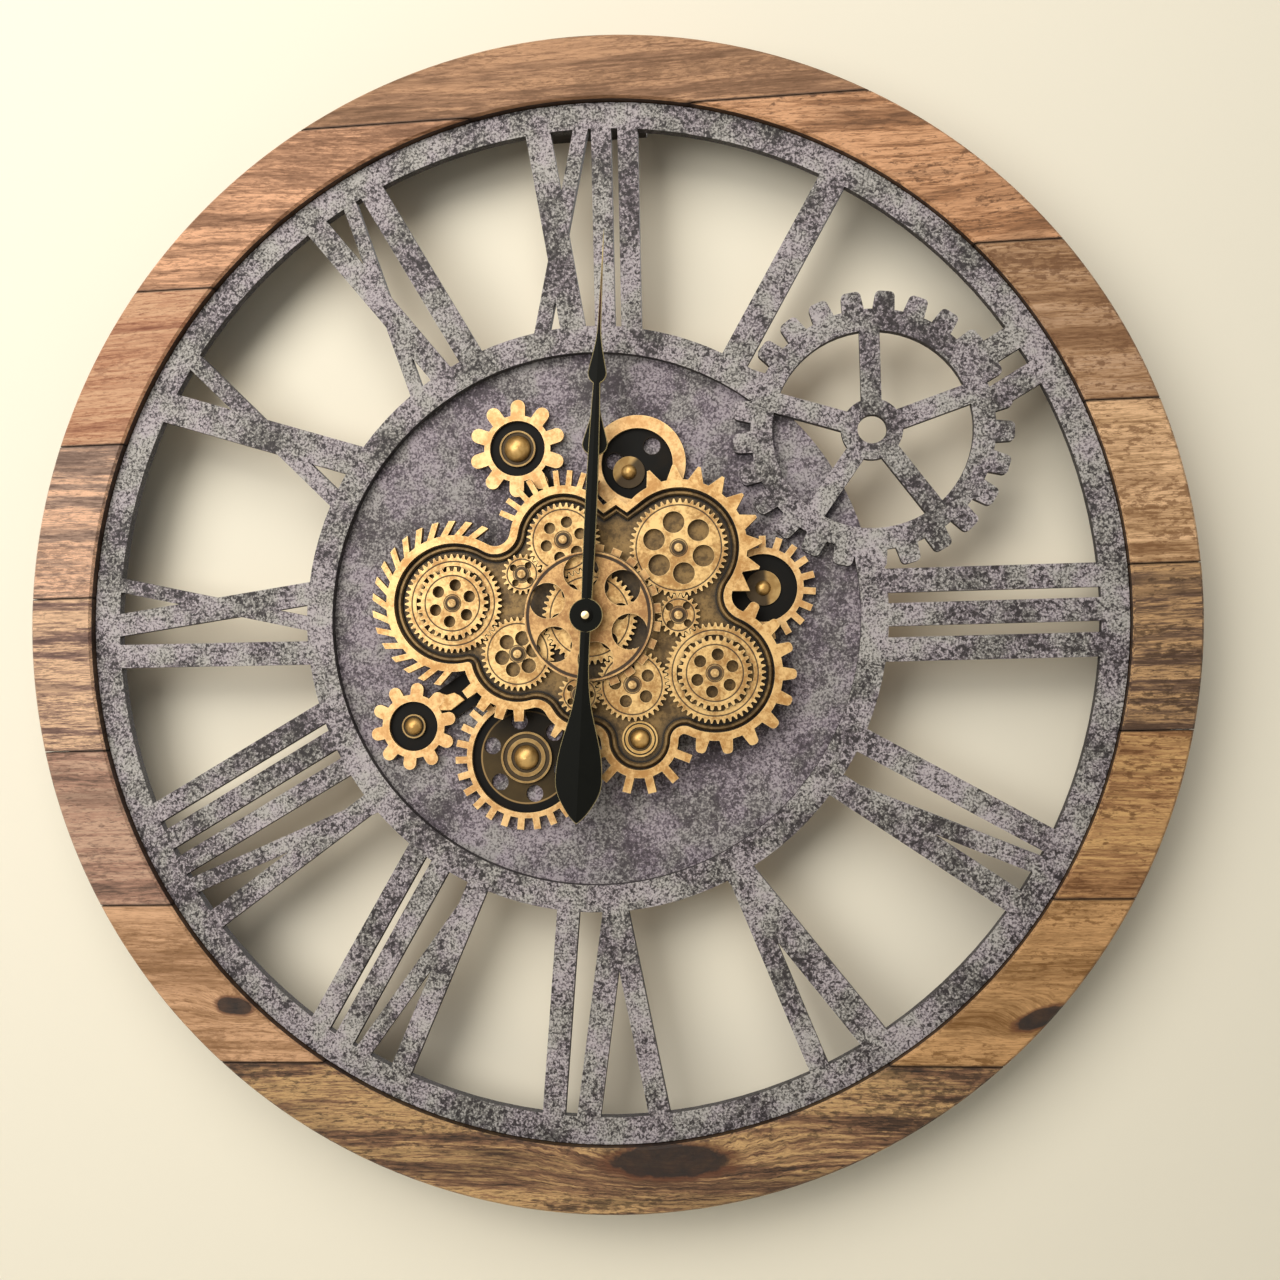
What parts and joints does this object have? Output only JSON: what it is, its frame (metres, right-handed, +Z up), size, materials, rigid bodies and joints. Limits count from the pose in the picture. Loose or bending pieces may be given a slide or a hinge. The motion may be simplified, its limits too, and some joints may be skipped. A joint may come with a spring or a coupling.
{
  "type": "wall clock",
  "caption": "Large round wall clock with a plank rim, a cut-out Roman dial plate, a centre disc carrying meshing gears in a lobed toothed frame, and spear hands.",
  "frame": {"origin": "centre of the hanger plate's keyhole, on the plane of the wall", "axes": "+X to the right seen from the front, +Y into the wall, so the dial faces -Y, +Z up"},
  "size_m": [0.6, 0.0539, 0.6],
  "materials": {
    "planks": "stained and distressed pine boards",
    "backing_wood": "raw plywood",
    "stone": "speckled grey stone-effect paint on fibreboard",
    "antique_gold": "antique gold paint with a dark wash",
    "black_base": "satin black paint",
    "dome_brass": "polished antique brass",
    "hand_black": "satin black with worn bright edges",
    "cap_metal": "turned bright metal",
    "steel": "zinc plated",
    "case_black": "moulded black",
    "cell_wrap": "printed cell sleeve, plain",
    "switch_grey": "moulded grey"
  },
  "bodies": {
    "clock": {"axle_pins": "dome_brass", "backing_ring": "backing_wood", "center_bush": "dome_brass", "center_disc": "stone", "dial_plate": "stone", "dial_screws": "steel", "disc_screws": "steel", "dome_bolts": "dome_brass", "drive_case": "case_black", "drive_cells": "cell_wrap", "drive_screws": "steel", "gear_base": "black_base", "gear_field": "antique_gold", "gear_frame": "antique_gold", "hanger_plate": "steel", "hanger_screws": "steel", "movement_case": "case_black", "movement_cell": "cell_wrap", "plank_bottom": "planks", "plank_left_1": "planks", "plank_left_2": "planks", "plank_left_3": "planks", "plank_left_4": "planks", "plank_left_5": "planks", "plank_left_6": "planks", "plank_right_1": "planks", "plank_right_2": "planks", "plank_right_3": "planks", "plank_right_4": "planks", "plank_right_5": "planks", "plank_right_6": "planks", "plank_top": "planks", "rim_gear_bottom": "antique_gold", "rim_gear_bottom_left": "antique_gold", "rim_gear_right": "antique_gold", "rim_gear_top": "antique_gold", "rim_gear_top_left": "antique_gold", "shaft_nut": "dome_brass"},
    "center_train": {"center_gear": "antique_gold", "center_wheel": "antique_gold"},
    "lower_left_turn": {"lower_left_gear": "antique_gold"},
    "left_turn": {"left_gear": "antique_gold"},
    "top_turn": {"top_gear": "antique_gold"},
    "upper_left_turn": {"upper_left_gear": "antique_gold"},
    "lower_turn": {"lower_gear": "antique_gold"},
    "lower_right_turn": {"lower_right_gear": "antique_gold", "drive_shaft": "steel"},
    "right_turn": {"right_gear": "antique_gold"},
    "upper_right_turn": {"upper_right_gear": "antique_gold"},
    "bottom_turn": {"bottom_gear": "antique_gold"},
    "minute": {"minute_hand": "hand_black", "minute_arbor": "steel", "hand_cap": "cap_metal", "setting_knob": "case_black"},
    "hour": {"hour_hand": "hand_black", "hour_tube": "dome_brass"},
    "switch": {"switch_slider": "switch_grey"}
  },
  "joints": [
    {"name": "center_spin", "type": "hinge", "parent": "clock", "child": "center_train", "pos_m": [0, -0.037, -0.273], "axis": [0, 1, 0], "continuous": true},
    {"name": "lower_left_spin", "type": "hinge", "parent": "clock", "child": "lower_left_turn", "pos_m": [-0.03739, -0.037, -0.291], "axis": [0, 1, 0], "continuous": true},
    {"name": "left_spin", "type": "hinge", "parent": "clock", "child": "left_turn", "pos_m": [-0.07042, -0.037, -0.26425], "axis": [0, 1, 0], "continuous": true},
    {"name": "top_spin", "type": "hinge", "parent": "clock", "child": "top_turn", "pos_m": [-0.01269, -0.037, -0.23349], "axis": [0, 1, 0], "continuous": true},
    {"name": "upper_left_spin", "type": "hinge", "parent": "clock", "child": "upper_left_turn", "pos_m": [-0.03442, -0.037, -0.25034], "axis": [0, 1, 0], "continuous": true},
    {"name": "lower_spin", "type": "hinge", "parent": "clock", "child": "lower_turn", "pos_m": [0.02112, -0.037, -0.30814], "axis": [0, 1, 0], "continuous": true},
    {"name": "lower_right_spin", "type": "hinge", "parent": "clock", "child": "lower_right_turn", "pos_m": [0.06283, -0.037, -0.30324], "axis": [0, 1, 0], "continuous": true},
    {"name": "right_spin", "type": "hinge", "parent": "clock", "child": "right_turn", "pos_m": [0.04527, -0.037, -0.27355], "axis": [0, 1, 0], "continuous": true},
    {"name": "upper_right_spin", "type": "hinge", "parent": "clock", "child": "upper_right_turn", "pos_m": [0.04616, -0.037, -0.23956], "axis": [0, 1, 0], "continuous": true},
    {"name": "bottom_spin", "type": "hinge", "parent": "clock", "child": "bottom_turn", "pos_m": [-0.00605, -0.037, -0.31245], "axis": [0, 1, 0], "continuous": true},
    {"name": "minute_spin", "type": "hinge", "parent": "clock", "child": "minute", "pos_m": [0, -0.049, -0.273], "axis": [0, 1, 0], "continuous": true},
    {"name": "hour_spin", "type": "hinge", "parent": "clock", "child": "hour", "pos_m": [0, -0.046, -0.273], "axis": [0, 1, 0], "continuous": true},
    {"name": "switch_slide", "type": "slide", "parent": "clock", "child": "switch", "axis": [1, 0, 0], "range_m": [0, 0.004]}
  ],
  "couplings": [
    {"joint": "lower_left_spin", "follows": "center_spin", "ratio": -1.3056},
    {"joint": "left_spin", "follows": "center_spin", "ratio": 0.95918},
    {"joint": "top_spin", "follows": "center_spin", "ratio": -1.3056},
    {"joint": "upper_left_spin", "follows": "center_spin", "ratio": 2.4737},
    {"joint": "lower_spin", "follows": "center_spin", "ratio": -1.3429},
    {"joint": "lower_right_spin", "follows": "center_spin", "ratio": 0.95918},
    {"joint": "right_spin", "follows": "center_spin", "ratio": -2.35},
    {"joint": "upper_right_spin", "follows": "center_spin", "ratio": 0.97917},
    {"joint": "bottom_spin", "follows": "center_spin", "ratio": 2.35},
    {"joint": "hour_spin", "follows": "minute_spin", "ratio": 0.083333}
  ]
}
